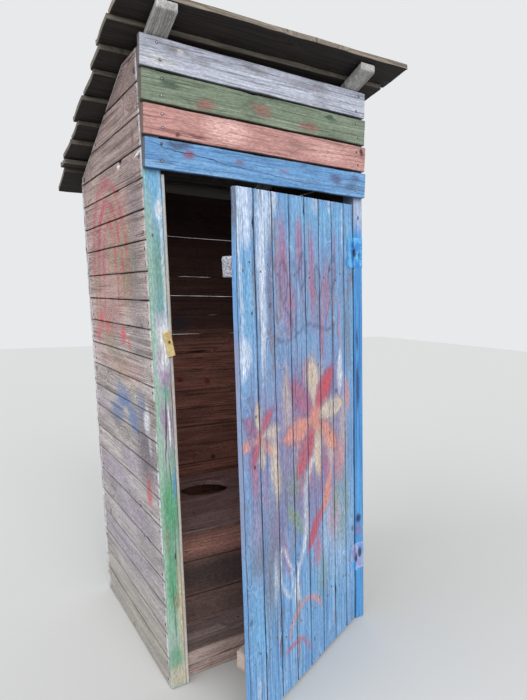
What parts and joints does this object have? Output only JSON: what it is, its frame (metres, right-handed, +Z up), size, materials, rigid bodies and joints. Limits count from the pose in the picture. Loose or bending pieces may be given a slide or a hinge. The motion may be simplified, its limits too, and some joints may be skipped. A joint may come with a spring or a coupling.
{
  "type": "wooden outhouse",
  "caption": "Small leaning plank outhouse: lean-to roof of lapped boards, plank door on face hinges, wooden turn-button, bench seat with an oval hole.",
  "frame": {"origin": "at ground level under the middle of the front sill, in the middle of the doorway", "axes": "+X to the right seen from the front, +Y from the front to the back, +Z up"},
  "size_m": [1.2284, 1.3999, 2.5325],
  "materials": {
    "weathered_planks": "weathered, matt",
    "painted_left_post": "brushed paint, worn",
    "painted_right_post": "brushed paint, worn",
    "frame_timber": "weathered, matt",
    "header_white": "brushed paint, worn",
    "header_green": "brushed paint, worn",
    "header_pink": "brushed paint, worn",
    "header_blue": "brushed paint, worn",
    "roof_planks": "bare, dark",
    "rafter_timber": "bare, weathered",
    "interior_planks": "bare, dark red brown",
    "floor_planks": "bare, worn",
    "door_paint": "brushed paint, worn",
    "door_ledge_timber": "bare, weathered",
    "painted_hinge": "overpainted",
    "chipboard_button": "bare strand board",
    "screw_steel": "dull, rusty"
  },
  "bodies": {
    "hut": {"back_sill": "frame_timber", "back_wall": "weathered_planks", "bottom_hinge_post_leaf": "painted_hinge", "floor": "floor_planks", "floor_bearer": "frame_timber", "front_sill": "frame_timber", "header_board_1": "header_white", "header_board_2": "header_green", "header_board_3": "header_pink", "header_board_4": "header_blue", "jamb_strip": "painted_left_post", "left_back_post": "frame_timber", "left_front_post": "painted_left_post", "left_rafter": "rafter_timber", "left_seat_cleat": "interior_planks", "left_sill": "frame_timber", "left_wall": "weathered_planks", "right_back_post": "frame_timber", "right_front_post": "painted_right_post", "right_rafter": "rafter_timber", "right_seat_cleat": "interior_planks", "right_sill": "frame_timber", "right_wall": "weathered_planks", "roof_board_1": "roof_planks", "roof_board_2": "roof_planks", "roof_board_3": "roof_planks", "roof_board_4": "roof_planks", "roof_board_5": "roof_planks", "roof_board_6": "roof_planks", "roof_board_7": "roof_planks", "roof_board_8": "roof_planks", "roof_board_9": "roof_planks", "seat_front_boards": "interior_planks", "seat_top": "interior_planks", "top_hinge_post_leaf": "painted_hinge", "turn_button_screw": "screw_steel"},
    "door": {"bottom_hinge_door_leaf": "painted_hinge", "door_boards": "door_paint", "door_bottom_ledge": "door_ledge_timber", "door_top_ledge": "door_ledge_timber", "top_hinge_door_leaf": "painted_hinge"},
    "button": {"turn_button": "chipboard_button"}
  },
  "joints": [
    {"name": "door_hinge", "type": "hinge", "parent": "hut", "child": "door", "pos_m": [0.3945, -0.063, 1], "axis": [-0.0529, 0, 0.9986], "range_deg": [-24.8, 95]},
    {"name": "button_pivot", "type": "hinge", "parent": "hut", "child": "button", "pos_m": [-0.51503, -0.0635, 1.378], "axis": [0, 1, 0], "range_deg": [-76.7, 103.3]}
  ]
}
